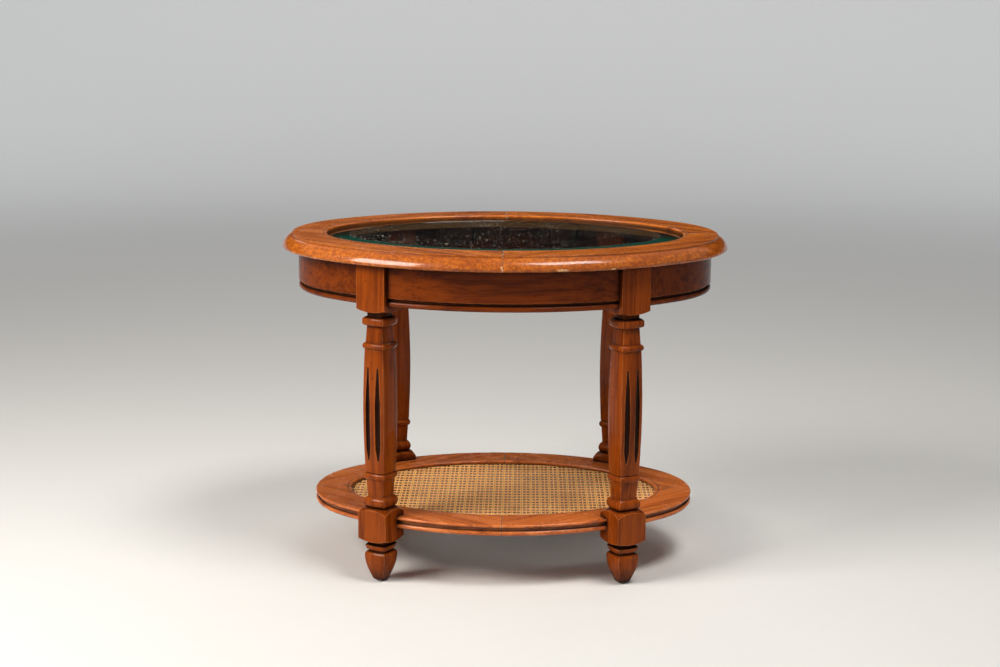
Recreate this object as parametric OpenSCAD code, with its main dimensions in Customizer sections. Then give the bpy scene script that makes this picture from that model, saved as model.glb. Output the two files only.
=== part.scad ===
// Oval side table with a glass top, four square-turned legs and a caned lower shelf.
// Millimetres, +Z up, origin on the floor under the middle of the top, +X along its length.
// Every curved piece follows one oval, drawn with four arcs, at its own distance inside it.

/* [Table] */
// Length of the top
top_w = 740; // [720:5:760]
// Depth of the top
top_d = 560; // [545:5:575]
// Height from the floor to the wooden top
table_h = 548.5; // [520:0.5:580]

/* [Top ring] */
// Thickness of the top ring
top_t = 24; // [22:0.5:28]
// Width of the ring from its outer edge to the glass
ring_w = 73; // [70:1:78]
// Flat margin outside the quirk line
nose_inset = 15.7; // [14:0.1:19]
// Step down at the quirk line
nose_drop = 3.2; // [2:0.1:4]
// Width of the small flat at the foot of the quirk line
nose_flat = 0.6; // [0.4:0.1:1]
// Radius of the nose's broad curve
nose_r = 22; // [21:0.5:30]
// Radius of the small round under the nose
nose_low = 4; // [3:0.25:5]
// Radius of the bead round the glass
lip_r = 2.6; // [1.5:0.1:3.4]
// Width of the small groove beside a bead
quirk_w = 1.2; // [0.6:0.1:1.8]
// Width of the ledge that carries the glass
ledge_w = 11; // [9:0.5:14]

/* [Glass] */
// Thickness of the glass
glass_t = 5; // [4:0.5:6]
// Width of the bevel round its upper face
bevel_w = 38; // [30:1:45]
// Thickness of the glass at its edge
glass_edge = 2.4; // [1.6:0.2:3.6]
// Depth of the glass below the wooden top
glass_drop = 4; // [2:0.5:5]
// Gap between the edge of the glass and the ring
glass_gap = 1; // [0.5:0.1:2]
// Thickness of the clear pads under the glass
pad_t = 0.8; // [0.5:0.1:1.2]
// Diameter of a pad
pad_d = 8; // [6:0.5:8.5]
// Clearance between the glass and its pads
pad_gap = 0.1; // [0.05:0.05:0.3]

/* [Apron] */
// Distance of the apron's face inside the top's edge
apron_inset = 26; // [23:0.5:29]
// Thickness of the apron
apron_t = 20; // [18:0.5:24]
// Height of the apron
apron_h = 67; // [60:1:75]
// Height of the bead along the apron's lower edge
apron_bead = 9.5; // [7:0.5:11]
// Width and depth of the groove above that bead
apron_groove = 4.5; // [3:0.25:6]

/* [Legs] */
// Side of the square blocks
block_w = 53; // [50:0.5:56]
// Distance of the leg's axis inside the top's edge
leg_inset = 45.5; // [43:0.5:48]
// Angle of a leg round the long side, from the short axis
leg_turn = 30; // [28:0.2:32]
// Radius of the sweep that gives the turned faces their bulge
drum_r = 66; // [60:1:140]
// Depth of the upper block's crown below the apron
block_under_apron = 14.5; // [12:0.5:17]
// Rise of the lower block's crown above the shelf
block_over_shelf = 20.5; // [18:0.5:23]
// Depth of the lower block's crown below the shelf
block_under_shelf = 24.5; // [22:0.5:26]
// Radius of the domed shoulder on top of the lower block
shoulder_r = 60; // [54:1:80]
// Radius of the domed shoulders under both blocks
under_r = 85; // [75:5:140]
// Height of the neck under the upper block
neck_0_h = 5; // [3.5:0.5:7]
// Height of the first ring
ring_1_h = 14; // [12:0.5:16]
// Rounding of that ring's edges
ring_1_r = 5; // [3:0.5:6]
// Half-width of the first ring
ring_1 = 23.4; // [22:0.1:24.5]
// Height of the tapered neck under it
neck_1_h = 27; // [23:0.5:31]
// Height of the ring at the head of the shaft
ring_2_h = 11; // [9:0.5:12]
// Half-width of that ring
ring_2 = 23.4; // [22.5:0.1:24.5]
// Half-width of the shaft at its ends
shaft_end = 20; // [18.5:0.1:21]
// Half-width of the shaft at its fullest
shaft_mid = 22.8; // [21.5:0.1:24]
// Height of the ring at the foot of the shaft
ring_3_h = 13.5; // [12:0.5:15]
// Half-width of that ring
ring_3 = 22.4; // [21.5:0.1:23.5]
// Height of the tapered neck below
neck_2_h = 26; // [22:0.5:30]
// Height of the large ring on the lower block
ring_4_h = 21.5; // [19:0.5:24]
// Depth to which that ring sits in the block's crown
ring_4_sink = 6; // [5:0.25:7]
// Half-width of that ring
ring_4 = 23; // [21.5:0.1:24.5]
// Half-width of the narrow ends of the necks
neck_half = 16; // [14.5:0.1:17]
// Half-width of the broad ends of the necks
neck_wide = 19; // [18:0.1:20]
// Height of the foot
foot_h = 49; // [45:1:53]
// Half-width of the foot at its fullest
foot_max = 22; // [20:0.2:23]
// Half-width of the foot at the floor
foot_end = 9.2; // [8.8:0.1:10]
// Gap between the foot and the collar over it
collar_gap = 3; // [2:0.25:4]
// Height of the collar over the foot
collar_h = 8.5; // [7:0.5:11]
// Half-width of the collar
collar_half = 21.4; // [19.5:0.1:22.5]
// Narrowing of the collar towards the foot
collar_taper = 3; // [0:0.25:4]

/* [Flutes] */
// Width of a flute
flute_w = 9.2; // [7:0.2:10]
// Spacing of the two flutes
flute_gap = 18.6; // [17:0.2:20]
// Distance from the head of the shaft to the flutes
flute_top = 29; // [24:1:36]
// Distance from the foot of the shaft to the flutes
flute_foot = 20; // [16:1:26]
// Length of a flute's pointed upper end
flute_point = 60; // [40:1:80]
// Length of its tapered lower end
flute_tail = 20; // [12:1:30]

/* [Shelf] */
// Height of the shelf's upper face
shelf_z = 109; // [100:0.5:118]
// Thickness of the shelf
shelf_t = 18.5; // [17:0.5:20]
// Distance of the shelf's edge inside the top's edge
shelf_inset = 50; // [47:0.5:53]
// Width of the shelf's ring from its edge to the opening
shelf_w = 61; // [58:0.5:64]
// Height of the bead along the shelf's lower edge
edge_bead = 8; // [7:0.25:8.5]
// Height of the bead along the shelf's upper edge
edge_fillet = 4.8; // [4:0.2:5.4]
// Radius of the bead round the opening
rim_r = 3; // [2.4:0.1:3]

/* [Cane] */
// Depth of the cane below the shelf's upper face
cane_drop = 6; // [6:0.25:7]
// Thickness of the cane mat
cane_t = 2; // [1.5:0.1:2.5]
// Width of the rabbet under the rim
cane_tuck = 9; // [8.5:0.25:10.5]
// Spacing of the gaps in the mat
net_pitch = 23; // [22.5:0.5:28]
// Side of a gap in the mat
net_hole = 14; // [10:0.5:16]
// Width of the strips that hold the mat
strip_w = 8; // [7:0.25:8.25]
// Height of the strips that hold the mat
strip_h = 9; // [8:0.25:9.5]

/* [Joinery] */
// Clearance round a dowel, screw or nail
fit_gap = 0.1; // [0.05:0.05:0.2]
// Diameter of the dowels in the top and the frame
dowel_d = 8; // [6:0.5:9]
// Length of those dowels
dowel_l = 36; // [32:1:38]
// Diameter of the dowels between the shelf's segments
shelf_dowel_d = 6; // [5:0.5:6.5]
// Side of the fixing blocks under the top
fix_w = 22; // [19:0.5:26]
// Height of the fixing blocks
fix_h = 30; // [26:1:36]
// Length of a fixing block along the apron
fix_l = 62; // [60:1:76]
// Distance of the end screws from the seam of the top
end_screw_off = 25; // [23:0.5:26]
// Diameter of the screws that hold the top
screw_d = 4; // [3.5:0.25:5]
// Length of those screws
screw_l = 42; // [40:1:44]
// Diameter of the brads in the cane strips
brad_d = 1.4; // [1.2:0.1:1.6]
// Length of the brads
brad_l = 17; // [14:1:19]

/* [Glides] */
// Diameter of a foot glide
glide_d = 16; // [14:0.5:16.4]
// Thickness of a glide
glide_h = 3; // [2.5:0.25:4]
// Diameter of its nail
nail_d = 2; // [1.6:0.1:2.4]
// Length of its nail
nail_l = 14; // [10:1:18]

/* [Hidden] */
$fn = 96;

// Finish of the wood, cane, glass and metal
stain = "#A8551E";
stain_dark = "#8C4317";
raw_wood = "#C89A66";
straw = "#D9B877";
glass_green = [0.75, 0.88, 0.82, 0.35];
clear_pad = [0.9, 0.9, 0.9, 0.5];
steel = "#9A9DA0";

// The oval: end arcs round (end_centre, 0) and side arcs round (0, -side_centre). The two
// centres and the origin make a triangle with sides 20, 21 and 29, in steps that are rounded
// to a hundredth of a millimetre, so that the arcs meet exactly.
oval_step = round((top_w - top_d) / 24 * 100) / 100;
end_centre = 20 * oval_step;
side_centre = 21 * oval_step;
end_r = top_w / 2 - end_centre;
side_r = end_r + 29 * oval_step;
half_d = side_r - side_centre;
// Direction in which both arcs meet, a point far out along it, and one beyond that along X
join_a = atan2(21, 20);
join_far = [200 * oval_step, 189 * oval_step];
far_x = 2 * join_far[0];

// Heights of the main levels
top_z = table_h - top_t;
apron_z = top_z - apron_h;
shelf_low = shelf_z - shelf_t;
ledge_h = top_t - glass_drop - glass_t - pad_gap - pad_t;
cane_z = shelf_z - cane_drop;

// Levels along a leg, from the floor upwards
half = block_w / 2;
low_block_z = shelf_low - block_under_shelf;
low_block_top = shelf_z + block_over_shelf;
high_block_z = apron_z - block_under_apron;
ring_4_z = low_block_top - ring_4_sink + ring_4_h / 2;
ring_3_z = ring_4_z + ring_4_h / 2 + neck_2_h + ring_3_h / 2;
shaft_z = ring_3_z + ring_3_h / 2;
ring_1_z = high_block_z - neck_0_h - ring_1_h / 2;
ring_2_z = ring_1_z - ring_1_h / 2 - neck_1_h - ring_2_h / 2;
shaft_top = ring_2_z - ring_2_h / 2;
foot_z = glide_h;
foot_top = foot_z + foot_h;
collar_z = foot_top + collar_gap;
leg_r = side_r - leg_inset;
leg_a = 90 - leg_turn;
// A point far out on the line from the side centre through the rear right leg
leg_far = 2 * top_w * [cos(leg_a), sin(leg_a)] - [0, side_centre];

// Directions of the pads, screws and brads, as angles round the arc they stand on
side_pad = 72;
end_pad = 24;
side_screw = 76;
side_brads = [52, 78];
end_brad = 22;

// Places of the dowels and gaps between loose parts
top_dowel_rows = [ring_w * 0.3, ring_w * 0.75];
shelf_dowel_rows = [shelf_w * 0.27, shelf_w * 0.62];
top_dowel_z = table_h - top_t / 2 - 1;
shelf_dowel_z = shelf_low + (shelf_t - cane_drop) / 2 + 3;
apron_dowel_zs = [apron_z + apron_h * 0.3, apron_z + apron_h * 0.72];
leg_dowel_side = block_w / 4;
into_leg = dowel_l * 0.45;
strip_gap = 0.1;
mat_gap = 0.5;
net_margin = 4;

// One quarter of the oval and its pieces

// Sweeps a profile right round an end centre: x is the distance out from the oval, y the height
module end_sweep() {
    translate([end_centre, 0, 0])
        rotate_extrude($fn = 240)
            translate([end_r, 0]) children();
}

// The same round the centre of the rear side arc
module side_sweep() {
    translate([0, -side_centre, 0])
        rotate_extrude($fn = 480)
            translate([side_r, 0]) children();
}

// Keeps what stands on a flat outline
module standing_on(points) {
    intersection() {
        children();
        translate([0, 0, -1]) linear_extrude(table_h) polygon(points);
    }
}

// The rear right quarter
module quarter() {
    standing_on([[end_centre, 0], join_far, [far_x, join_far[1]], [far_x, 0]])
        end_sweep() children();
    standing_on([[0, 0], [end_centre, 0], join_far, [0, join_far[1]]])
        side_sweep() children();
}

// A short piece of a side arc or of the right end arc, between two directions
module side_arc(from, to) {
    translate([0, -side_centre, 0])
        rotate([0, 0, from])
            rotate_extrude(angle = to - from, $fn = 480)
                translate([side_r, 0]) children();
}

module end_arc(from, to) {
    translate([end_centre, 0, 0])
        rotate([0, 0, from])
            rotate_extrude(angle = to - from, $fn = 240)
                translate([end_r, 0]) children();
}

// Turns the rear right quarter into any of the four
module corner(x, y) {
    mirror([x < 0 ? 1 : 0, 0, 0])
        mirror([0, y < 0 ? 1 : 0, 0])
            children();
}

module each_corner() {
    for (x = [-1, 1], y = [-1, 1]) corner(x, y) children();
}

// Places a piece that points along +X where the rear right leg stands
module at_leg() {
    translate([0, -side_centre, 0])
        rotate([0, 0, leg_a])
            translate([leg_r, 0, 0]) children();
}

// Places a piece that points along +X on a side arc, at a distance inside the oval
module on_side(angle, inset, z) {
    translate([0, -side_centre, z])
        rotate([0, 0, angle])
            translate([side_r - inset, 0, 0]) children();
}

// The same on an end arc
module on_end(angle, inset, z) {
    translate([end_centre, 0, z])
        rotate([0, 0, angle])
            translate([end_r - inset, 0, 0]) children();
}

// Flat outline of the oval, drawn in by an inset
module oval(inset) {
    r_end = end_r - inset;
    r_side = side_r - inset;
    half_x = end_centre + r_end * cos(join_a);
    intersection() {
        translate([0, -side_centre]) circle(r_side, $fn = 480);
        translate([0, side_centre]) circle(r_side, $fn = 480);
        square([2 * half_x, 2 * r_side], center = true);
    }
    for (x = [-1, 1]) translate([x * end_centre, 0]) circle(r_end, $fn = 240);
}

// Straight rod through a seam, half on each side
module rod(d, l) {
    rotate([0, 90, 0]) cylinder(d = d, h = l, center = true, $fn = 48);
}

// Rods across the four seams of a ring, in rows given as distances inside the oval
module seam_rods(rows, z, d, l) {
    for (row = rows) {
        for (y = [-1, 1]) translate([0, y * (half_d - row), z]) rod(d, l);
        for (x = [-1, 1]) translate([x * (top_w / 2 - row), 0, z]) rotate([0, 0, 90]) rod(d, l);
    }
}

// The top ring

module top_profile() {
    // the broad curve runs from the flat at the quirk line down to the small round
    run = nose_inset - nose_flat;
    rise = top_t - nose_drop - nose_low;
    chord = norm([run, rise]);
    back = sqrt(nose_r * nose_r - chord * chord / 4) / chord;
    low = nose_low * 1.2;
    difference() {
        union() {
            translate([-ring_w, 0]) square([ring_w - nose_inset, top_t]);
            translate([-ring_w, 0]) square([ring_w - nose_low, low]);
            intersection() {
                translate([-run / 2 - back * rise, nose_low + rise / 2 - back * run])
                    circle(nose_r, $fn = 180);
                translate([-nose_inset - 1, low])
                    square([nose_inset + 2, top_t - nose_drop - low]);
            }
            translate([-nose_low, nose_low]) circle(nose_low);
            translate([-ring_w - ledge_w, 0]) square([ledge_w, ledge_h]);
        }
        translate([-ring_w, top_t - lip_r]) square([lip_r, lip_r]);
        translate([-ring_w + 2 * lip_r, top_t - quirk_w]) square([quirk_w, quirk_w]);
    }
    translate([-ring_w + lip_r, top_t - lip_r]) circle(lip_r);
}

module top_rods(extra) {
    seam_rods(top_dowel_rows, top_dowel_z, dowel_d + 2 * extra, dowel_l + 4 * extra);
}

module top_segment(x, y) {
    color(stain)
        difference() {
            translate([0, 0, top_z]) corner(x, y) quarter() top_profile();
            top_rods(fit_gap);
            top_screw_places() screw_hole();
        }
}

module top_joint_dowels() {
    color(raw_wood) top_rods(0);
}

// The glass and its pads

// Thinner towards its rounded edge, by a broad bevel on the upper face
module glass_panel() {
    r = glass_edge / 2;
    color(glass_green)
        translate([0, 0, table_h - glass_drop - glass_t]) {
            linear_extrude(glass_t) oval(ring_w + glass_gap + bevel_w);
            each_corner() quarter()
                translate([-ring_w - glass_gap, 0]) {
                    polygon([[-bevel_w, 0], [-r, 0], [-r, 2 * r], [-bevel_w, glass_t]]);
                    translate([-r, r]) circle(r, $fn = 48);
                }
        }
}

module glass_pads() {
    inset = ring_w + (ledge_w + glass_gap) / 2;
    color(clear_pad)
        each_corner() {
            on_side(side_pad, inset, top_z + ledge_h) cylinder(d = pad_d, h = pad_t, $fn = 48);
            on_end(end_pad, inset, top_z + ledge_h) cylinder(d = pad_d, h = pad_t, $fn = 48);
        }
}

// The apron

module apron_profile() {
    bead_r = apron_bead / 2;
    translate([-apron_inset, 0]) {
        translate([-apron_t, 0]) square([apron_t - apron_groove, apron_h]);
        translate([-apron_t, apron_bead + apron_groove])
            square([apron_t, apron_h - apron_bead - apron_groove]);
        translate([-apron_t, 0]) square([apron_t - bead_r, apron_bead]);
        translate([-bead_r, bead_r]) circle(bead_r);
    }
}

// Square prism in the place of a leg's block
module block_space(z, h) {
    at_leg() translate([-half, -half, z]) cube([block_w, block_w, h]);
}

module apron_rods(extra) {
    side_x = leg_inset - apron_inset - apron_t / 2;
    l = dowel_l + 4 * extra;
    for (z = apron_dowel_zs, s = [-1, 1])
        at_leg() translate([side_x, s * (half - into_leg + dowel_l / 2), z])
            rotate([0, 0, 90]) rod(dowel_d + 2 * extra, l);
}

module leg_cuts() {
    block_space(apron_z - 1, apron_h + 2);
    apron_rods(fit_gap);
}

// The apron between the two rear legs; the front one is its mirror
module long_apron() {
    difference() {
        translate([0, 0, apron_z])
            standing_on([[0, -side_centre], leg_far, [-leg_far[0], leg_far[1]]])
                side_sweep() apron_profile();
        for (x = [-1, 1]) corner(x, 1) leg_cuts();
    }
}

// The apron round the right end; the left one is its mirror
module end_apron() {
    difference() {
        translate([0, 0, apron_z]) {
            standing_on([
                [end_centre, 0], join_far, [far_x, join_far[1]],
                [far_x, -join_far[1]], [join_far[0], -join_far[1]]
            ]) end_sweep() apron_profile();
            for (y = [-1, 1]) corner(1, y)
                standing_on([[0, -side_centre], join_far, leg_far])
                    side_sweep() apron_profile();
        }
        for (y = [-1, 1]) corner(1, y) leg_cuts();
    }
}

module apron_front() {
    color(stain) mirror([0, 1, 0]) long_apron();
}

module apron_rear() {
    color(stain) long_apron();
}

module apron_left() {
    color(stain) mirror([1, 0, 0]) end_apron();
}

module apron_right() {
    color(stain) end_apron();
}

module apron_dowels() {
    color(raw_wood) each_corner() apron_rods(0);
}

// The legs

// Half of the leg's outline, in (half-width, height), without the square blocks
module turned_outline() {
    shaft_l = shaft_top - shaft_z;
    steps = 12;
    chamfer = 1.5;
    // cores that the rings sit on
    translate([0, foot_top - 1]) square([neck_half, low_block_z - foot_top + 4]);
    translate([0, high_block_z - neck_0_h - 1]) square([neck_half, neck_0_h + 4]);
    ring(ring_1_z, ring_1_h, ring_1, ring_1_r);
    ring(ring_2_z, ring_2_h, ring_2, ring_2_h / 2);
    ring(ring_3_z, ring_3_h, ring_3, ring_3_h / 2);
    ring(ring_4_z, ring_4_h, ring_4, ring_4_h / 2);
    // the two tapered necks
    polygon([
        [0, ring_2_z], [neck_wide, ring_2_z],
        [neck_half, ring_1_z], [0, ring_1_z]
    ]);
    polygon([
        [0, ring_4_z], [neck_half, ring_4_z],
        [neck_wide, ring_3_z], [0, ring_3_z]
    ]);
    // the swelling shaft
    polygon(concat(
        [[0, shaft_top], [0, shaft_z]],
        [for (i = [0 : steps])
            [shaft_end + (shaft_mid - shaft_end) * sin(180 * i / steps), shaft_z + shaft_l * i / steps]]
    ));
    // the collar, narrower at its foot
    polygon([
        [0, collar_z], [collar_half - collar_taper, collar_z],
        [collar_half, collar_z + collar_h - chamfer],
        [collar_half - chamfer, collar_z + collar_h], [0, collar_z + collar_h]
    ]);
    foot_outline();
}

// A ring on the leg with rounded edges, or a half-round one where r is half its height
module ring(z, h, width, r) {
    flat = h - 2 * r;
    translate([0, z - h / 2]) square([width - r, h]);
    if (flat > 0) translate([0, z - flat / 2]) square([width, flat]);
    for (s = flat > 0 ? [-1, 1] : [0])
        translate([width - r, z + s * flat / 2]) circle(r, $fn = 48);
}

module foot_outline() {
    steps = 8;
    nose = 6;
    swell = foot_h - nose;
    polygon(concat(
        [[0, foot_top], [0, foot_z]],
        [for (i = [0 : steps])
            [foot_end + (foot_max - foot_end) * sin(90 * i / steps), foot_z + swell * i / steps]],
        [for (i = [1 : 4])
            [foot_max - nose + nose * cos(22.5 * i), foot_top - nose + nose * sin(22.5 * i)]]
    ));
}

// One turned face: the outline swept round an axis behind the leg
module turned_face() {
    back = drum_r - half;
    translate([-back, 0, 0])
        rotate([0, 0, -80])
            rotate_extrude(angle = 160, $fn = 360) {
                translate([back, 0]) turned_outline();
                translate([0, foot_z]) square([back, high_block_z + 2 - foot_z]);
            }
}

// Square block with a domed crown at each end, or flat on top where over is 0
module block(z0, z1, over, under) {
    up = over > 0 ? 1 : 0;
    intersection() {
        translate([-half, -half, z0 - 1]) cube([block_w, block_w, z1 - z0 + 1 + up]);
        translate([0, 0, z0 + under]) sphere(under, $fn = 180);
        if (over > 0) translate([0, 0, z1 - over]) sphere(over, $fn = 180);
    }
}

// Flutes in the outer face, which looks along +X
module flutes() {
    r = flute_w / 2;
    tip = r / 2.4;
    z0 = shaft_z + flute_foot;
    z1 = z0 + flute_tail;
    z3 = shaft_top - flute_top;
    z2 = z3 - flute_point;
    x = (shaft_end + shaft_mid) / 2;
    for (s = [-1, 1]) translate([x, s * flute_gap / 2, 0]) {
        translate([0, 0, z0]) cylinder(r1 = tip, r2 = r, h = flute_tail, $fn = 48);
        translate([0, 0, z1]) cylinder(r = r, h = z2 - z1, $fn = 48);
        translate([0, 0, z2]) cylinder(r1 = r, r2 = tip, h = flute_point, $fn = 48);
    }
}

module shelf_leg_rods(extra) {
    for (s = [-1, 1])
        at_leg() translate([-half, s * leg_dowel_side, shelf_dowel_z])
            rod(dowel_d + 2 * extra, dowel_l + 4 * extra);
}

module leg_body() {
    difference() {
        union() {
            intersection() {
                turned_face();
                rotate([0, 0, 90]) turned_face();
                rotate([0, 0, 180]) turned_face();
                rotate([0, 0, 270]) turned_face();
            }
            block(low_block_z, low_block_top, shoulder_r, under_r);
            block(high_block_z, top_z, 0, under_r);
        }
        flutes();
    }
}

module leg(x, y) {
    color(stain_dark)
        corner(x, y)
            difference() {
                at_leg() leg_body();
                apron_rods(fit_gap);
                shelf_leg_rods(fit_gap);
                at_leg() translate([0, 0, foot_z - 1])
                    cylinder(d = nail_d + 2 * fit_gap, h = nail_l + 1 + fit_gap, $fn = 32);
            }
}

// Blocks and screws that hold the top

module fix_profile() {
    translate([-apron_inset - apron_t - fix_w, top_z - fix_h]) square([fix_w, fix_h]);
}

module fix_on_side() {
    a = fix_l / (side_r - apron_inset - apron_t) * 90 / PI;
    side_arc(side_screw - a, side_screw + a) fix_profile();
}

module fix_on_end() {
    a = fix_l / (end_r - apron_inset - apron_t) * 90 / PI;
    end_arc(-a, a) fix_profile();
}

module top_screw_places() {
    inset = apron_inset + apron_t + fix_w / 2;
    each_corner() {
        on_side(side_screw, inset, top_z - fix_h) children();
        on_end(end_screw_off / (end_r - inset) * 180 / PI, inset, top_z - fix_h) children();
    }
}

// Countersunk wood screw that points up
module screw() {
    rotate_extrude($fn = 48)
        polygon([
            [0, 0], [screw_d, 0], [screw_d / 2, screw_d / 2],
            [screw_d / 2, screw_l - screw_d], [screw_d / 10, screw_l], [0, screw_l]
        ]);
}

module screw_hole() {
    d = screw_d + 2 * fit_gap;
    cylinder(d = d, h = screw_l + 1, $fn = 48);
    translate([0, 0, -0.01])
        cylinder(r1 = screw_d + 2 * fit_gap, r2 = 0.1, h = screw_d + 2 * fit_gap, $fn = 48);
}

module fixing_pair(y) {
    color(raw_wood)
        difference() {
            for (x = [-1, 1]) corner(x, y) fix_on_side();
            top_screw_places() screw_hole();
        }
}

module fixing_end(x) {
    color(raw_wood)
        difference() {
            corner(x, 1) fix_on_end();
            top_screw_places() screw_hole();
        }
}

module top_screws() {
    color(steel) top_screw_places() screw();
}

// The shelf

module shelf_profile() {
    bead_r = edge_bead / 2;
    fillet_r = edge_fillet / 2;
    groove_sink = 1;
    difference() {
        union() {
            translate([-shelf_w, 0]) square([shelf_w - bead_r - groove_sink, shelf_t]);
            translate([-shelf_w, 0]) square([shelf_w - bead_r, edge_bead]);
            translate([-shelf_w, shelf_t - edge_fillet])
                square([shelf_w - fillet_r, edge_fillet]);
        }
        translate([-shelf_w, shelf_t - rim_r]) square([rim_r, rim_r]);
        translate([-shelf_w + 2 * rim_r, shelf_t - quirk_w]) square([quirk_w, quirk_w]);
        translate([-shelf_w - 1, -1]) square([cane_tuck + 1, shelf_t - cane_drop + 1]);
    }
    translate([-bead_r, bead_r]) circle(bead_r);
    translate([-fillet_r, shelf_t - fillet_r]) circle(fillet_r, $fn = 48);
    translate([-shelf_w + rim_r, shelf_t - rim_r]) circle(rim_r, $fn = 48);
}

module shelf_rods(extra) {
    rows = [for (row = shelf_dowel_rows) shelf_inset + row];
    seam_rods(rows, shelf_dowel_z, shelf_dowel_d + 2 * extra, dowel_l + 4 * extra);
}

// Brads through the strips of the rear right quarter, pointing outwards
module brads(extra) {
    inset = shelf_inset + shelf_w - cane_tuck + strip_gap + strip_w;
    z = cane_z - cane_t - strip_h / 2;
    for (a = side_brads) on_side(a, inset, z) brad(extra);
    on_end(end_brad, inset, z) brad(extra);
}

module brad(extra) {
    translate([-extra * 4, 0, 0])
        rotate([0, 90, 0]) cylinder(d = brad_d + 2 * extra, h = brad_l + 8 * extra, $fn = 24);
}

module shelf_segment(x, y) {
    color(stain)
        difference() {
            corner(x, y)
                difference() {
                    translate([0, 0, shelf_low])
                        quarter() translate([-shelf_inset, 0]) shelf_profile();
                    block_space(low_block_z, low_block_top - low_block_z);
                    shelf_leg_rods(fit_gap);
                    brads(fit_gap);
                }
            shelf_rods(fit_gap);
        }
}

module shelf_joint_dowels() {
    color(raw_wood) shelf_rods(0);
}

module shelf_leg_dowels() {
    color(raw_wood) each_corner() shelf_leg_rods(0);
}

// The cane mat and the strips that hold it

module cane_panel() {
    nx = floor(top_w / 2 / net_pitch);
    ny = floor(top_d / 2 / net_pitch);
    margin = shelf_inset + shelf_w + net_margin;
    color(straw)
        translate([0, 0, cane_z - cane_t])
            linear_extrude(cane_t)
                difference() {
                    oval(shelf_inset + shelf_w - cane_tuck + mat_gap);
                    for (i = [-nx : nx], j = [-ny : ny])
                        if (net_inside(i * net_pitch, j * net_pitch, margin))
                            translate([i * net_pitch, j * net_pitch])
                                square(net_hole, center = true);
                }
}

// True where a whole gap lies inside the oval drawn in by an inset
function net_inside(x, y, inset) =
    let (px = abs(x) + net_hole / 2, py = abs(y) + net_hole / 2)
    norm([px, py + side_centre]) < side_r - inset
    && (px < end_centre || norm([px - end_centre, py]) < end_r - inset
        || atan2(py, px - end_centre) > join_a);

module cane_strip(x, y) {
    color(raw_wood)
        corner(x, y)
            difference() {
                translate([0, 0, cane_z - cane_t - strip_h])
                    quarter()
                        translate([-shelf_inset - shelf_w + cane_tuck - strip_gap - strip_w, 0])
                            square([strip_w, strip_h]);
                brads(fit_gap);
            }
}

module cane_brads() {
    color(steel) each_corner() brads(0);
}

// The glides under the feet

module foot_glides() {
    r = glide_d / 2;
    color(steel)
        each_corner() at_leg() {
            rotate_extrude($fn = 48)
                polygon([
                    [0, 0], [r - 3, 0], [r - 0.8, 1], [r, 2],
                    [r, glide_h], [0, glide_h]
                ]);
            cylinder(d = nail_d, h = glide_h + nail_l - 1, $fn = 32);
        }
}

top_segment(-1, -1);  // top_segment_front_left
top_segment(1, -1);  // top_segment_front_right
top_segment(-1, 1);  // top_segment_rear_left
top_segment(1, 1);  // top_segment_rear_right
top_joint_dowels();
glass_panel();
glass_pads();
apron_front();
apron_rear();
apron_left();
apron_right();
apron_dowels();
leg(-1, -1);  // leg_front_left
leg(1, -1);  // leg_front_right
leg(-1, 1);  // leg_rear_left
leg(1, 1);  // leg_rear_right
fixing_pair(-1);  // fixing_blocks_front
fixing_pair(1);  // fixing_blocks_rear
fixing_end(-1);  // fixing_block_left
fixing_end(1);  // fixing_block_right
top_screws();
shelf_segment(-1, -1);  // shelf_segment_front_left
shelf_segment(1, -1);  // shelf_segment_front_right
shelf_segment(-1, 1);  // shelf_segment_rear_left
shelf_segment(1, 1);  // shelf_segment_rear_right
shelf_joint_dowels();
shelf_leg_dowels();
cane_panel();
cane_strip(-1, -1);  // cane_strip_front_left
cane_strip(1, -1);  // cane_strip_front_right
cane_strip(-1, 1);  // cane_strip_rear_left
cane_strip(1, 1);  // cane_strip_rear_right
cane_brads();
foot_glides();
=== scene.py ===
"""Oval side table: looks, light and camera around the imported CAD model. Metres, +Z up."""
import bpy
import math
import random
from mathutils import Vector, Matrix


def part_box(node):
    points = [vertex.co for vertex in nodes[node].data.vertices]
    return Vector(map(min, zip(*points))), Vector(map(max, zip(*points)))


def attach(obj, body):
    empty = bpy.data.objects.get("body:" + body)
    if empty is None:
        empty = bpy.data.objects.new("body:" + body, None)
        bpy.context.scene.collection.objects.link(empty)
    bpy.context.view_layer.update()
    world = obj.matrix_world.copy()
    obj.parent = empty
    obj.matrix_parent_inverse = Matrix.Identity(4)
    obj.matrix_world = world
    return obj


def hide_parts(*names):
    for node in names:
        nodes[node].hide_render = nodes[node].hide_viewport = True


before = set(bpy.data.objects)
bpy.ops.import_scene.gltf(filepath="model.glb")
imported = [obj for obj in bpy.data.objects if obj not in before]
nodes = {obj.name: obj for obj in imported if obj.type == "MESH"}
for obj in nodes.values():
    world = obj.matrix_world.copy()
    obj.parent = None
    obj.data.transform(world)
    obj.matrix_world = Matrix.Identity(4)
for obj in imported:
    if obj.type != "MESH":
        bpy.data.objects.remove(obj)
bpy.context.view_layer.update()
rand = random.Random(11)

# The four-centre oval of the CAD model, and the direction in which its two arcs meet
END_CENTRE, SIDE_CENTRE, END_R, SIDE_R = 0.150, 0.1575, 0.220, 0.4375
JOIN = math.atan2(21, 20)
HALF_LENGTH, HALF_DEPTH = 0.37, 0.28
# Distances inside that oval: the end of the top's rounded nose, the start of the ledge under
# the glass, the end of the glass's bevel, and the edge of the woven cane
NOSE_END, LEDGE_START, BEVEL_END, CANE_EDGE = 0.0157, 0.074, 0.1115, 0.103

# The rear right leg's axis and the direction of its outer face, which has two flutes
LEG_AT, LEG_DIR = (0.196, 0.18198), math.radians(60)
FLUTE_OFF, FLUTE_NARROW, FLUTE_WIDE = 0.0093, 0.002, 0.0046
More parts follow.
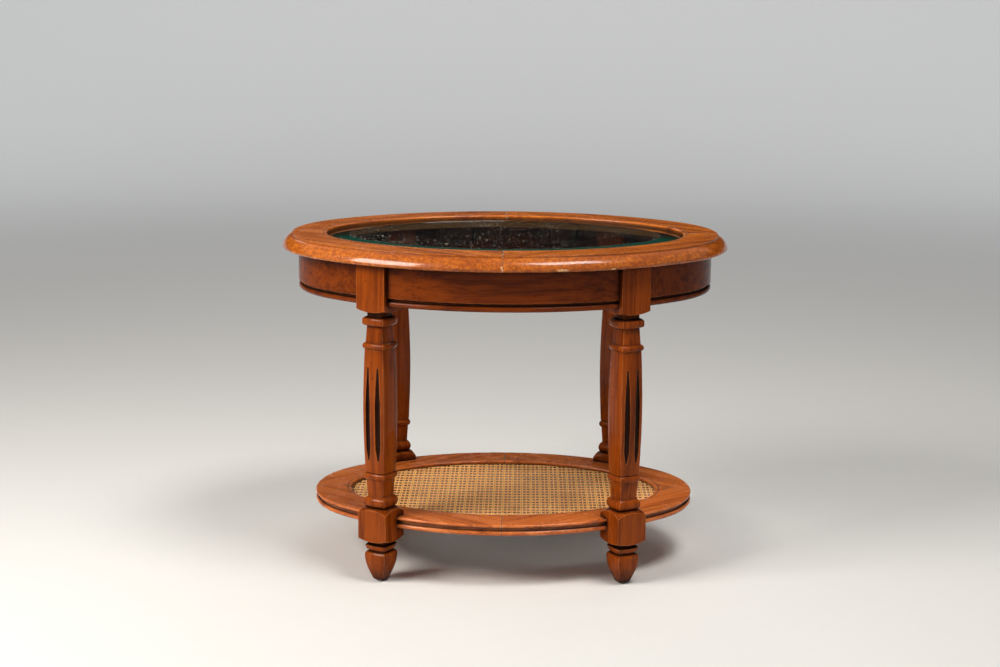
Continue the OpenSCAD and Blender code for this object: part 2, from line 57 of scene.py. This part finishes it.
# Heights of a flute: lower point, full width from and to, upper point
FLUTE_Z = 0.2045, 0.2245, 0.297, 0.357
# How softly a flute's painted shade and stain end at its sides, and how far out from the axis the
# face lies at least
FLUTE_FADE, OUTER_FROM = 0.0012, 0.01

# The cane mat: middle height, sag, half-length and half-width
CANE_Z = sum(v[2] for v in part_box("cane_panel")) / 2
CANE_SAG, CANE_SPAN = 0.0016, (0.267, 0.177)
# A strand's spacing, width and thickness, and how far it climbs over another
CANE_PITCH, CANE_WIDTH, CANE_THICK, CANE_RISE = 0.0158, 0.0024, 0.0021, 0.0003
# A strand's section, in widths and thicknesses: flat below and bevelled above
CANE_SECTION = (-0.5, -0.5), (0.5, -0.5), (0.5, 0.05), (0.24, 0.5), (-0.24, 0.5), (-0.5, 0.05)
# Places of the strands within one spacing: threes along the length, pairs and singles across
CANE_PLACES = (-0.0028, 0.0, 0.0028), (-0.0014, 0.0014, 0.0079)
# How far the last strand stays from the mat's side, and the last crossing from a strand's end
SIDE_GAP, END_GAP = 0.002, 0.0015


def in_scene(name, data):
    o = bpy.data.objects.new(name, data)
    bpy.context.scene.collection.objects.link(o)
    return o


def photo_camera():
    """The photograph's camera, fitted to its ovals, seams and legs."""
    pitch, roll, turn = math.radians(11.124), math.radians(0.367), math.radians(0.717)
    aim_z, dist, shift_x, shift_y = 0.2575, 3.22087, 0.0065156, -0.1158776
    sensor, focal_in_sensors = 36, 1.89698
    forward = Vector((0, math.cos(pitch), -math.sin(pitch)))
    level = Vector((1, 0, 0))
    above = level.cross(forward)
    right = math.cos(roll) * level + math.sin(roll) * above
    up = -math.sin(roll) * level + math.cos(roll) * above
    data = bpy.data.cameras.new("photo_camera")
    data.sensor_width = sensor
    data.lens = sensor * focal_in_sensors
    data.clip_start, data.clip_end = 0.05, 60
    cam = in_scene("photo_camera", data)
    axes = Matrix((right, up, -forward)).transposed().to_4x4()
    axes.translation = Vector((0, 0, aim_z)) - forward * dist - shift_x * right - shift_y * up
    cam.matrix_world = Matrix.Rotation(turn, 4, "Z") @ axes
    bpy.context.scene.camera = cam


photo_camera()


# Materials. Scales of noise are per metre, and remap picks the band of a noise that shows.

class Tree:
    """The node tree of a material or world, with short ways to add and join nodes."""

    def __init__(self, owner):
        owner.use_nodes = True
        self.owner = owner
        self.nodes = owner.node_tree.nodes
        self.links = owner.node_tree.links

    def add(self, kind, **props):
        n = self.nodes.new("ShaderNode" + kind)
        for k, v in props.items():
            setattr(n, k, v)
        return n

    def set(self, socket, value):
        """Links the socket to an output, or gives it a number, vector or colour."""
        if hasattr(value, "is_output"):
            self.links.new(value, socket)
        elif socket.type == "RGBA":
            socket.default_value = (*value, 1)
        else:
            socket.default_value = value

    def math(self, op, a, b=0.0, c=None, clamp=False):
        n = self.add("Math", operation=op, use_clamp=clamp)
        self.set(n.inputs[0], a)
        self.set(n.inputs[1], b)
        if c is not None:
            self.set(n.inputs[2], c)
        return n.outputs[0]

    def times(self, first, *more):
        for k in more:
            first = self.math("MULTIPLY", first, k)
        return first

    def total(self, *pairs):
        """Sum of value * weight over the pairs."""
        out = 0.0
        for v, w in pairs:
            out = self.math("MULTIPLY_ADD", v, w, out)
        return out

    def length(self, a, b):
        return self.math("SQRT", self.math("ADD", self.times(a, a), self.times(b, b)))

    def remap(self, v, lo, hi, to_lo=0.0, to_hi=1.0, smooth=True):
        """v from the range lo to hi, which may run downwards, to the range to_lo to to_hi."""
        n = self.add("MapRange", interpolation_type="SMOOTHSTEP" if smooth else "LINEAR")
        for i, x in enumerate((v, lo, hi, to_lo, to_hi)):
            self.set(n.inputs[i], x)
        return n.outputs[0]

    def over(self, col, layer, *shares):
        """The colour col with layer laid over it by the product of the shares."""
        n = self.add("Mix", data_type="RGBA")
        self.set(n.inputs[0], self.times(*shares))
        self.set(n.inputs[6], col)
        self.set(n.inputs[7], layer)
        return n.outputs[2]

    def coords(self):
        return self.add("TexCoord").outputs["Object"]

    def xyz(self, v):
        n = self.add("SeparateXYZ")
        self.set(n.inputs[0], v)
        return n.outputs[0], n.outputs[1], n.outputs[2]

    def vec(self, x, y, z):
        n = self.add("CombineXYZ")
        for i, c in enumerate((x, y, z)):
            self.set(n.inputs[i], c)
        return n.outputs[0]

    def vector_math(self, op, a, b=None):
        n = self.add("VectorMath", operation=op)
        self.set(n.inputs[0], a)
        if b is not None:
            self.set(n.inputs[1], b)
        return n.outputs["Value" if op in ("LENGTH", "DOT_PRODUCT") else "Vector"]

    def mapped(self, v, **inputs):
        n = self.add("Mapping", vector_type="POINT")
        self.set(n.inputs[0], v)
        for k, x in inputs.items():
            n.inputs[k].default_value = x
        return n.outputs[0]

    def noise(self, v, scale, detail, rough, warp=0.0):
        """Noise of one scale, or of a scale for each axis; detail counts its finer layers."""
        if isinstance(scale, tuple):
            v, scale = self.mapped(v, Scale=scale), 1.0
        n = self.add("TexNoise")
        sockets = dict(Vector=v, Scale=scale, Detail=detail, Roughness=rough, Distortion=warp)
        for k, x in sockets.items():
            self.set(n.inputs[k], x)
        return n.outputs[0]

    def bump(self, height, strength, distance, normal=None):
        n = self.add("Bump")
        self.set(n.inputs["Strength"], strength)
        self.set(n.inputs["Distance"], distance)
        self.set(n.inputs["Height"], height)
        if normal is not None:
            self.set(n.inputs["Normal"], normal)
        return n.outputs[0]

    def open_air(self, reach, samples):
        """1 where nothing is near, and less in corners and under overhangs."""
        n = self.add("AmbientOcclusion", samples=samples)
        n.inputs["Distance"].default_value = reach
        return n.outputs["AO"]

    def rounded(self, radius):
        """The normal with edges rounded."""
        n = self.add("Bevel", samples=4)
        n.inputs["Radius"].default_value = radius
        return n.outputs[0]

    def inset(self):
        """Distance inside the oval of the top."""
        x, y, _ = self.xyz(self.coords())
        x, y = self.math("ABSOLUTE", x), self.math("ABSOLUTE", y)
        ex = self.math("SUBTRACT", x, END_CENTRE)
        end = self.math("SUBTRACT", END_R, self.length(ex, y))
        side = self.math("SUBTRACT", SIDE_R, self.length(x, self.math("ADD", y, SIDE_CENTRE)))
        in_end = self.math("LESS_THAN", y, self.times(ex, math.tan(JOIN)))
        return self.total((end, in_end), (side, self.math("SUBTRACT", 1.0, in_end)))

    def flutes(self):
        """1 inside the two flutes on a leg's outer face."""
        low, full_from, full_to, high = FLUTE_Z
        x, y, z = self.xyz(self.coords())
        x = self.math("SUBTRACT", self.math("ABSOLUTE", x), LEG_AT[0])
        y = self.math("SUBTRACT", self.math("ABSOLUTE", y), LEG_AT[1])
        c, s = math.cos(LEG_DIR), math.sin(LEG_DIR)
        outward = self.total((x, c), (y, s))
        across = self.math("ABSOLUTE", self.total((x, -s), (y, c)))
        off = self.math("ABSOLUTE", self.math("SUBTRACT", across, FLUTE_OFF))
        upper = self.remap(z, full_to, high, FLUTE_WIDE, FLUTE_NARROW, smooth=False)
        lower = self.remap(z, low, full_from, FLUTE_NARROW, FLUTE_WIDE, smooth=False)
        half = self.math("MINIMUM", upper, lower)
        inside = self.remap(self.math("SUBTRACT", off, half), 0.0, -FLUTE_FADE)
        from_low = self.remap(z, low - 0.0005, low + 0.0015)
        to_high = self.remap(z, high + 0.0005, high - 0.0005)
        outer_face = self.math("GREATER_THAN", outward, OUTER_FROM)
        return self.times(inside, from_low, to_high, outer_face)

    def near(self, at, reach):
        """1 close to a point, 0 beyond the reach along each axis."""
        away = self.vector_math("SUBTRACT", self.coords(), at)
        away = self.vector_math("LENGTH", self.vector_math("DIVIDE", away, reach))
        return self.remap(away, 1.0, 0.55)

    def seen(self):
        """1 for what the camera sees, also in a mirror or through glass; 0 for light that falls."""
        ray = self.add("LightPath")
        out = self.math("ADD", ray.outputs["Is Camera Ray"], ray.outputs["Is Glossy Ray"])
        return self.math("ADD", out, ray.outputs["Is Transmission Ray"], clamp=True)

    def shade(self, **sockets):
        """Sets the main shader's sockets and returns the material."""
        bsdf = self.nodes["Principled BSDF"]
        for k, v in sockets.items():
            self.set(bsdf.inputs[k.replace("_", " ")], v)
        return self.owner


def new_tree(name):
    return Tree(bpy.data.materials.new(name))


def srgb(r, g, b):
    """Linear colour from 0-255 display values."""
    return tuple(c / 12.92 if c <= 0.04045 else ((c + 0.055) / 1.055) ** 2.4
                 for c in (r / 255, g / 255, b / 255))


# Dark stain, also laid as painted shade in creases, in the flutes and under overhangs
STAIN_AND_SHADE = srgb(22, 9, 3)
# Light edge colour: rubbed wear and a painted highlight
RUBBED_AND_HIGHLIGHT = srgb(226, 146, 78)
FILLER = srgb(232, 204, 168)
BARE = srgb(222, 178, 126)
# Darker nose colour: a mottled grain and painted shade
NOSE_MOTTLE_AND_SHADE = srgb(132, 62, 16)
LEDGE_LIGHT, LEDGE_DARK = srgb(196, 150, 98), srgb(150, 102, 58)
# How far away another face still darkens a crease with stain and painted shade, and how far it
# still casts painted shade on a face it shelters
CREASE_REACH, SHELTER_REACH = 0.011, 0.045
# Distances from a seam between which its dark line, and the filler beside it, fade in
SEAM_LINE, SEAM_FILLER = (0.0009, 0.0003), (0.0022, 0.001)
# How much of the filler shows on the top and on the shelf
TOP_FILLER, SHELF_FILLER = 0.8, 0.25


def grain(t, p, angle, along_z, seed):
    """Growth rings that wander, fine streaks, open pores and a slow drift of tone."""
    if along_z:
        x, y, z = t.xyz(p)
        p = t.vec(z, x, y)
    elif angle:
        p = t.mapped(p, Rotation=(0, 0, -angle))
    g = t.mapped(p, Location=(seed, seed * 1.7, 0))
    gx, gy, gz = t.xyz(g)
    drift = t.noise(g, (1.7, 8, 8), 2, 0.5)
    wander = t.times(t.math("SUBTRACT", drift, 0.5), 0.055)
    wavy = t.vec(gx, t.math("ADD", gy, wander), t.math("ADD", gz, wander))
    rings = t.noise(wavy, (3.2, 95, 95), 3, 0.6, 0.2)
    streak = t.noise(wavy, (7, 330, 330), 2, 0.5)
    pore = t.remap(t.noise(g, (48, 1500, 1500), 1, 0.5), 0.6, 0.72)
    cloud = t.noise(g, (5, 16, 16), 2, 0.5)
    return rings, streak, pore, cloud


def wood(name, light, mid, dark, gloss, shine, coat, edge, seed, angle=0.0, along_z=False,
         seams=False, top=False, painted_shade=0.0, chips=()):
    """Stained, lacquered wood whose grain runs in a flat direction, or up for the legs.

    gloss is its least roughness, shine its specular level and edge the radius of its edges.
    A share of painted shade darkens the faces under overhangs, and chips are where the edge is
    knocked to bare wood.
    """
    t = new_tree(name)
    p = t.coords()
    light, mid, dark = srgb(*light), srgb(*mid), srgb(*dark)
    rings, streak, pore, cloud = grain(t, p, angle, along_z, seed)
    tone = t.total((rings, 0.62), (streak, 0.3), (cloud, 0.26))
    col = t.over(light, mid, t.remap(tone, 0.47, 0.68))
    col = t.over(col, dark, t.remap(tone, 0.6, 0.78), 0.6)
    col = t.over(col, dark, pore, 0.4)
    # edges laid lighter, as rubbed wear and a painted highlight; corners and grooves laid darker,
    # as gathered stain and painted shade
    air = t.open_air(CREASE_REACH, 6)
    rounded = t.rounded(edge)
    flat = t.vector_math("DOT_PRODUCT", rounded, t.add("NewGeometry").outputs["Normal"])
    patchy = t.remap(t.noise(p, 55.0, 3, 0.6), 0.35, 0.65, 0.25, 0.8)
    # painted highlight and rubbed wear: convex edges in the open are laid lighter
    col = t.over(col, RUBBED_AND_HIGHLIGHT, t.remap(flat, 0.995, 0.93), t.remap(air, 0.75, 0.95), patchy)
    # painted shade and gathered stain: corners and grooves darken as other faces come near
    crease = t.remap(air, 0.9, 0.5)
    col = t.over(col, STAIN_AND_SHADE, crease, 0.93)
    # painted shade: faces sheltered under overhangs are laid darker
    if painted_shade:
        air = t.open_air(SHELTER_REACH, 6)
        col = t.over(col, STAIN_AND_SHADE, t.remap(air, 0.86, 0.42, 0.0, painted_shade))
    # small knocks
    col = t.over(col, dark, t.remap(t.noise(p, 210.0, 1, 0.5), 0.735, 0.77), 0.7)
    if seams:
        x, y, _ = t.xyz(p)
        off = t.math("MINIMUM", t.math("ABSOLUTE", x), t.math("ABSOLUTE", y))
        col = t.over(col, STAIN_AND_SHADE, t.remap(off, *SEAM_LINE), 0.75)
        broken = t.remap(t.noise(p, 260.0, 2, 0.6), 0.56, 0.62)
        share = TOP_FILLER if top else SHELF_FILLER
        col = t.over(col, FILLER, t.remap(off, *SEAM_FILLER), broken, share)
    if top:
        depth = t.inset()
        mottle = t.total((t.noise(p, 170.0, 2, 0.6), 0.6), (t.noise(p, 520.0, 1, 0.5), 0.4))
        mottle = t.remap(mottle, 0.4, 0.6, 0.2, 0.85)
        # the nose is mottled darker: a mottled grain, and painted shade against the light it
        # catches most
        on_nose = t.remap(depth, NOSE_END + 0.0005, NOSE_END - 0.0005)
        col = t.over(col, NOSE_MOTTLE_AND_SHADE, on_nose, mottle)
        on_ledge = t.remap(depth, LEDGE_START - 0.0004, LEDGE_START + 0.0004)
        col = t.over(col, t.over(LEDGE_LIGHT, LEDGE_DARK, streak), on_ledge)
    if along_z:
        # painted shade and stain: the flutes are laid dark
        col = t.over(col, STAIN_AND_SHADE, t.flutes(), 0.9)
    for at, reach in chips:
        ragged = t.remap(t.noise(p, 320.0, 2, 0.6), 0.36, 0.46)
        col = t.over(col, BARE, t.near(at, reach), ragged)
    rough = t.remap(t.noise(p, 26.0, 3, 0.6), 0.35, 0.7, gloss, gloss + 0.12)
    rough = t.math("MAXIMUM", rough, t.times(crease, 0.65))
    height = t.total((pore, -0.6), (streak, 0.35), (rings, 0.3))
    return t.shade(Base_Color=col, Roughness=rough, Specular_IOR_Level=shine,
                   Normal=t.bump(height, strength=0.14, distance=0.0004, normal=rounded),
                   Coat_Roughness=0.09, Coat_Normal=rounded,
                   Coat_Weight=t.times(t.math("SUBTRACT", 1.0, crease), coat))


def raw_wood(name, light, dark):
    """Wood that was never stained or lacquered."""
    t = new_tree(name)
    g = t.noise(t.coords(), (20, 20, 300), 3, 0.6)
    return t.shade(Base_Color=t.over(srgb(*light), srgb(*dark), g), Roughness=0.75,
                   Normal=t.bump(g, strength=0.2, distance=0.0004))


def plain(name, colour, rough, metal=0.0):
    """A finely mottled metal or plastic."""
    t = new_tree(name)
    n = t.noise(t.coords(), 300.0, 4, 0.6)
    light = srgb(*colour)
    return t.shade(Base_Color=t.over(light, tuple(c * 0.5 for c in light), n, 0.24),
                   Roughness=t.remap(n, 0.3, 0.7, rough - 0.06, rough + 0.06),
                   Metallic=metal, Normal=t.bump(n, strength=0.1, distance=0.0003))


def glass_mat():
    """Clear glass with dust and faint smears, its bevel coloured brown to a greener teal by how it
    faces the eye, as a painted reflection and a painted view through it.
    """
    clear, painted_view_brown, painted_glow_teal = (0.62, 0.66, 0.63), srgb(44, 34, 22), srgb(22, 78, 62)
    grey_dust = srgb(186, 174, 156)
    t = new_tree("float_glass")
    p = t.coords()
    face = t.add("LayerWeight")
    face.inputs["Blend"].default_value = 0.5
    facing = face.outputs["Facing"]
    slope = t.times(t.remap(facing, 0.3, 0.62), t.remap(facing, 0.87, 0.83))
    bevel = t.remap(t.inset(), BEVEL_END + 0.001, BEVEL_END - 0.001)
    # dust in coarse and fine specks and in smears, patchy, and thin on the bevel
    specks = t.remap(t.noise(p, (230, 75, 10), 0, 0.5), 0.78, 0.82)
    fine = t.remap(t.noise(p, (520, 160, 10), 0, 0.5), 0.735, 0.775)
    specks = t.math("MAXIMUM", specks, t.times(fine, 0.8))
    smear = t.times(t.remap(t.noise(p, (16, 60, 10), 4, 0.65), 0.52, 0.75), 0.1)
    dust = t.math("MAXIMUM", t.times(specks, 0.6), smear)
    patchy = t.remap(t.noise(p, 7.0, 2, 0.5), 0.42, 0.62, 0.2, 1.0)
    dust = t.times(dust, patchy, t.math("MULTIPLY_ADD", bevel, -0.75, 1.0))
    # painted reflection: the bevel is coloured brown to teal by its facing, for the wood seen
    # through it and the green light along the glass
    col = t.over(clear, t.over(painted_view_brown, painted_glow_teal, slope), bevel, t.remap(facing, 0.4, 0.7))
    col = t.over(col, grey_dust, t.remap(dust, 0.0, 0.3))
    # the bevel is partly opaque, so its painted colour shows in place of what lies behind it
    body = t.times(bevel, t.remap(facing, 0.45, 0.72, 0.0, 0.68))
    body = t.math("MAXIMUM", body, dust)
    return t.shade(Base_Color=col, Transmission_Weight=t.math("SUBTRACT", 1.0, body), IOR=1.52,
                   Specular_IOR_Level=0.4, Roughness=t.remap(dust, 0.0, 0.5, 0.0, 0.25))


def cane_mat(name, along_x, light, dark):
    """Strands of split cane, ribbed along their length, each with its own tone."""
    rib, spot, aged, corner, flank = (srgb(*c) for c in (
        (150, 94, 42), (120, 70, 30), (158, 100, 50), (62, 32, 12), (44, 20, 8)))
    corner_reach, flank_from, flank_to = 0.004, 0.0007, 0.0003
    t = new_tree(name)
    p = t.coords()
    x, y, z = t.xyz(p)
    g = t.vec(x, y, 0.0) if along_x else t.vec(y, x, 3.0)
    strand = t.noise(g, (4, 250, 1), 2, 0.6)
    fibre = t.noise(g, (70, 5200, 1), 1, 0.5)
    spots = t.noise(g, (60, 420, 1), 2, 0.6)
    col = t.over(srgb(*light), srgb(*dark), t.remap(strand, 0.32, 0.68))
    col = t.over(col, rib, t.remap(fibre, 0.5, 0.75), 0.4)
    col = t.over(col, spot, t.remap(spots, 0.6, 0.75), 0.5)
    col = t.over(col, aged, t.remap(t.noise(p, 8.0, 3, 0.6), 0.45, 0.7), 0.4)
    # painted shade: the strands darken where other strands come near
    col = t.over(col, corner, t.remap(t.open_air(corner_reach, 4), 0.62, 0.2, 0.0, 0.85))
    # painted shade: the flanks of the strands, below the mat's upper surface, are laid dark
    bow = t.total((t.times(x, x), -1 / CANE_SPAN[0] ** 2), (t.times(y, y), -1 / CANE_SPAN[1] ** 2))
    bow = t.math("MAXIMUM", t.math("ADD", bow, 1.0), 0.0)
    height = t.math("ADD", z, t.math("MULTIPLY_ADD", bow, CANE_SAG, -CANE_Z))
    col = t.over(col, flank, t.remap(height, flank_from, flank_to, 0.0, 0.96))
    return t.shade(Base_Color=col, Roughness=t.remap(fibre, 0.3, 0.7, 0.34, 0.5),
                   Normal=t.bump(fibre, strength=0.25, distance=0.0002), Specular_IOR_Level=0.45)


def assign(mat, *names):
    for n in names:
        nodes[n].data.materials.clear()
        nodes[n].data.materials.append(mat)


QUARTERS = {"front_left": (-1, -1), "front_right": (1, -1),
            "rear_left": (-1, 1), "rear_right": (1, 1)}
# One stain laid lighter and darker by part, as painted light and shade: lighter on the top and
# shelf, darker on the legs, and darker still on the aprons in the top's shade
TOP = dict(light=(208, 113, 32), mid=(172, 84, 20), dark=(96, 40, 10),
           gloss=0.2, shine=0.18, coat=0.42, edge=0.0015, seams=True, top=True)
SHELF = dict(light=(212, 116, 52), mid=(184, 91, 34), dark=(104, 45, 15),
             gloss=0.2, shine=0.25, coat=0.3, edge=0.0014, seams=True)
LEG = dict(light=(146, 65, 9), mid=(118, 49, 6), dark=(66, 25, 4),
           gloss=0.16, shine=0.05, coat=0.17, edge=0.0012, painted_shade=0.6, along_z=True)
APRON = dict(light=(120, 51, 7), mid=(98, 39, 5), dark=(56, 20, 3),
             gloss=0.16, shine=0.05, coat=0.17, edge=0.0009, painted_shade=0.9)
# Chips on the front edge: the middle of each, and its reach along each axis
CHIPS = {"front_left": [((-0.001, -0.279, 0.5315), (0.0035, 0.006, 0.0035))],
         "front_right": [((0.093, -0.2715, 0.5275), (0.013, 0.006, 0.0028)),
                         ((0.171, -0.2465, 0.5265), (0.006, 0.006, 0.002))]}

for i, (q, (sx, sy)) in enumerate(QUARTERS.items()):
    chord = math.atan2(-sy * HALF_DEPTH, sx * HALF_LENGTH)
    assign(wood("top_wood_" + q, angle=chord, seed=0.31 * i, chips=CHIPS.get(q, ()), **TOP),
           "top_segment_" + q)
    assign(wood("shelf_wood_" + q, angle=chord, seed=0.47 * i + 2, **SHELF),
           "shelf_segment_" + q)
    assign(wood("leg_wood_" + q, seed=0.53 * i + 5, **LEG), "leg_" + q)
for i, q in enumerate(("front", "rear", "left", "right")):
    along = 0.001 if q in ("front", "rear") else math.pi / 2
    assign(wood("apron_wood_" + q, angle=along, seed=0.61 * i + 9, **APRON), "apron_" + q)
assign(raw_wood("bare_wood", (150, 106, 62), (112, 72, 38)),
       "top_joint_dowels", "apron_dowels", "shelf_joint_dowels", "shelf_leg_dowels",
       *("cane_strip_" + q for q in QUARTERS))
# painted shade: the fixing blocks inside the frame are laid dark, as wood in the frame's shade
assign(raw_wood("painted_shade_wood", (84, 44, 22), (58, 29, 14)),
       "fixing_blocks_front", "fixing_blocks_rear", "fixing_block_left", "fixing_block_right")
assign(plain("dull_steel", (120, 120, 122), 0.45, 0.9), "top_screws", "cane_brads", "foot_glides")
assign(plain("clear_dots", (225, 228, 226), 0.4), "glass_pads")
assign(glass_mat(), "glass_panel")


# The woven cane: strands over and under each other, clipped to the oval

def half_strand(c, along_x):
    """Half-length of a straight strand at the distance c from the middle."""
    c = abs(c)
    end, side = END_R - CANE_EDGE, SIDE_R - CANE_EDGE
    if along_x:
        if c < end * math.sin(JOIN):
            return END_CENTRE + math.sqrt(end * end - c * c)
        return math.sqrt(max(0.0, side * side - (c + SIDE_CENTRE) ** 2))
    if c > END_CENTRE + end * math.cos(JOIN):
        return math.sqrt(max(0.0, end * end - (c - END_CENTRE) ** 2))
    return math.sqrt(side * side - c * c) - SIDE_CENTRE


def strand_lines(limit, places):
    """Number and distance from the middle of each strand, on both sides as far as the limit."""
    n = int(limit / CANE_PITCH) + 1
    out = [(len(places) * i + j, CANE_PITCH * i + off)
           for i in range(-n, n + 1) for j, off in enumerate(places)]
    return [(k, c) for k, c in out if abs(c) < limit - SIDE_GAP]


def strand_path(half, cross):
    """Points along a strand: up or down at each crossing, level between them and at its ends."""
    path = [(-half, 0.0)]
    for i, (s, up) in enumerate(cross):
        if i:
            path.append(((cross[i - 1][0] + s) / 2, 0.0))
        path.append((s, up * CANE_RISE))
    return path + [(half, 0.0)]


def cane_weave():
    verts, faces, mats = [], [], []
    n = len(CANE_SECTION)
    for axis in (0, 1):
        over = 1 if axis == 0 else -1
        others = strand_lines(CANE_SPAN[axis], CANE_PLACES[1 - axis])
        for k, c in strand_lines(CANE_SPAN[1 - axis], CANE_PLACES[axis]):
            half = half_strand(c, axis == 0)
            cross = [(s, over if (k + m) % 2 else -over) for m, s in others
                     if abs(s) < half - END_GAP]
            if len(cross) < 2:
                continue
            path = strand_path(half, cross)
            c += rand.uniform(-0.00012, 0.00012)
            width = CANE_WIDTH * rand.uniform(0.92, 1.04)
            lean = rand.uniform(-0.04, 0.04)
            base = len(verts)
            for s, z in path:
                x, y = (s, c) if axis == 0 else (c, s)
                bow = max(0.0, 1 - (x / CANE_SPAN[0]) ** 2 - (y / CANE_SPAN[1]) ** 2)
                for a, b in CANE_SECTION:
                    side = c + a * width
                    h = CANE_Z - CANE_SAG * bow + z + b * CANE_THICK + a * width * lean
                    verts.append((s, side, h) if axis == 0 else (side, s, h))
            rings = [range(base + i * n, base + (i + 1) * n) for i in range(len(path))]
            skin = [(r[j], r[(j + 1) % n], r[(j + 1) % n] + n, r[j] + n)
                    for r in rings[:-1] for j in range(n)]
            skin += [tuple(rings[0])[::-1], tuple(rings[-1])]
            faces += [f[::-1] for f in skin] if axis == 0 else skin
            mats += [axis] * len(skin)
    mesh = bpy.data.meshes.new("cane_weave")
    mesh.from_pydata(verts, [], faces)
    mesh.materials.append(cane_mat("cane_along", True, (250, 182, 116), (224, 148, 90)))
    mesh.materials.append(cane_mat("cane_across", False, (255, 212, 116), (250, 184, 94)))
    mesh.polygons.foreach_set("material_index", mats)
    mesh.polygons.foreach_set("use_smooth", [True] * len(mesh.polygons))
    mesh.update()
    o = in_scene("cane_weave", mesh)
    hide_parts("cane_panel")
    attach(o, "frame")


cane_weave()


# Floor, backdrop and light

def studio():
    """One pale sheet: the floor, a wide curve behind it and a wall that darkens above the view."""
    near, far, bend, top, half_w, steps = -30.0, 4.6, 3.0, 6.0, 30.0, 24
    dark_from, dark_to = 0.8, 0.95
    glow_from, glow_to, glow = 1.2, 6.8, 0.42
    line = [(near, 0.0), (-3.0, 0.0), (0.0, 0.0), (far, 0.0)]
    for i in range(1, steps + 1):
        a = math.pi / 2 * i / steps
        line.append((far + bend * math.sin(a), bend * (1 - math.cos(a))))
    line.append((far + bend, top))
    verts = [(x, y, z) for y, z in line for x in (-half_w, half_w)]
    faces = [(2 * i, 2 * i + 1, 2 * i + 3, 2 * i + 2) for i in range(len(line) - 1)]
    mesh = bpy.data.meshes.new("studio_sheet")
    mesh.from_pydata(verts, [], faces)
    mesh.polygons.foreach_set("use_smooth", [True] * len(faces))
    t = new_tree("pale_paper")
    x, y, z = t.xyz(t.coords())
    col = t.over(srgb(224, 222, 218), srgb(210, 207, 202), t.noise(t.coords(), 30.0, 3, 0.6), 0.2)
    # painted shade: the wall above the view is laid near black, for the unlit room that the lacquer
    # and glass reflect
    col = t.over(col, srgb(20, 20, 21), t.remap(z, dark_from, dark_to))
    # the far floor, which no lamp reaches, glows for the eye alone
    far_off = t.remap(t.length(x, y), glow_from, glow_to, 0.0, glow)
    far_off = t.times(far_off, t.remap(z, dark_to, dark_from))
    mesh.materials.append(t.shade(
        Base_Color=col, Roughness=0.8, Specular_IOR_Level=0.2,
        Emission_Color=(0.97, 0.985, 1.0), Emission_Strength=t.times(t.seen(), far_off)))
    o = in_scene("studio_sheet", mesh)


studio()


def lamp(name, azimuth, elevation, dist, size, power, colour=(1, 1, 1), mirrored=True):
    """A soft light. Azimuth is counted from the camera's side, positive to its right."""
    aim = Vector((0, 0, 0.35))
    az, el = math.radians(azimuth), math.radians(elevation)
    towards = Vector((math.sin(az) * math.cos(el), -math.cos(az) * math.cos(el), math.sin(el)))
    data = bpy.data.lights.new(name, "AREA")
    data.shape = "RECTANGLE"
    data.size, data.size_y = size
    data.energy = power
    data.color = colour
    o = in_scene(name, data)
    o.visible_glossy = mirrored
    o.location = aim + dist * towards
    o.rotation_euler = (-towards).to_track_quat("-Z", "Y").to_euler()


lamp("key_light", azimuth=-57, elevation=33, dist=2.7, size=(1.3, 0.9), power=72,
     colour=(1.0, 0.965, 0.92))
lamp("fill_light", azimuth=42, elevation=62, dist=2.7, size=(1.1, 0.8), power=50,
     colour=(1.0, 0.98, 0.95))
lamp("back_light", azimuth=160, elevation=48, dist=3.2, size=(1.8, 0.8), power=13,
     mirrored=False)
lamp("low_back_light", azimuth=-165, elevation=27, dist=3.4, size=(1.6, 0.5), power=3)

# The world gives a little light all round, and is seen as a pale background
WORLD_LIGHT, WORLD_SEEN = 0.14, 0.38
bpy.context.scene.world = bpy.data.worlds.new("studio")
sky = Tree(bpy.context.scene.world)
background = sky.nodes["Background"]
sky.set(background.inputs["Color"], (0.93, 0.96, 1.0))
sky.set(background.inputs["Strength"],
        sky.math("MULTIPLY_ADD", sky.seen(), WORLD_SEEN - WORLD_LIGHT, WORLD_LIGHT))
bpy.context.scene.view_settings.view_transform = "Standard"
